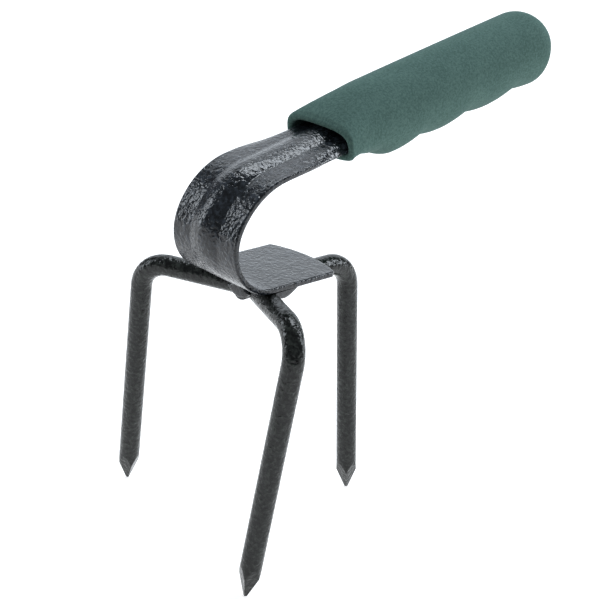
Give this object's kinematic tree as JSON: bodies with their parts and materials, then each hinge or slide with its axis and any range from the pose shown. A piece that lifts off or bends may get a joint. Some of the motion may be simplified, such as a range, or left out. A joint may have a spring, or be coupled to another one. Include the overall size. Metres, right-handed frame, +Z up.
{
  "type": "hand cultivator",
  "caption": "Short gardening hand fork: a ribbed gooseneck steel strap with pointed round-rod tines welded under its foot and a soft foam grip.",
  "frame": {"origin": "centre of the bounding box on the ground, level with the tine points", "axes": "+Z up with the tool standing on its points, +X from the gooseneck's bend towards the closed end of the grip, +Y towards the left tine"},
  "size_m": [0.1788, 0.105, 0.1915],
  "materials": {
    "strap_paint": "hammered semi-gloss paint",
    "rod_paint": "satin dark paint",
    "weld_paint": "painted weld bead",
    "foam": "fine closed-cell foam, matte"
  },
  "bodies": {
    "root": {"shank": "strap_paint", "left_tine": "rod_paint", "right_tine": "rod_paint", "centre_tine": "rod_paint", "left_weld": "weld_paint", "right_weld": "weld_paint", "centre_weld_left": "weld_paint", "centre_weld_right": "weld_paint", "joint_weld": "weld_paint", "foam_grip": "foam"}
  },
  "joints": []
}
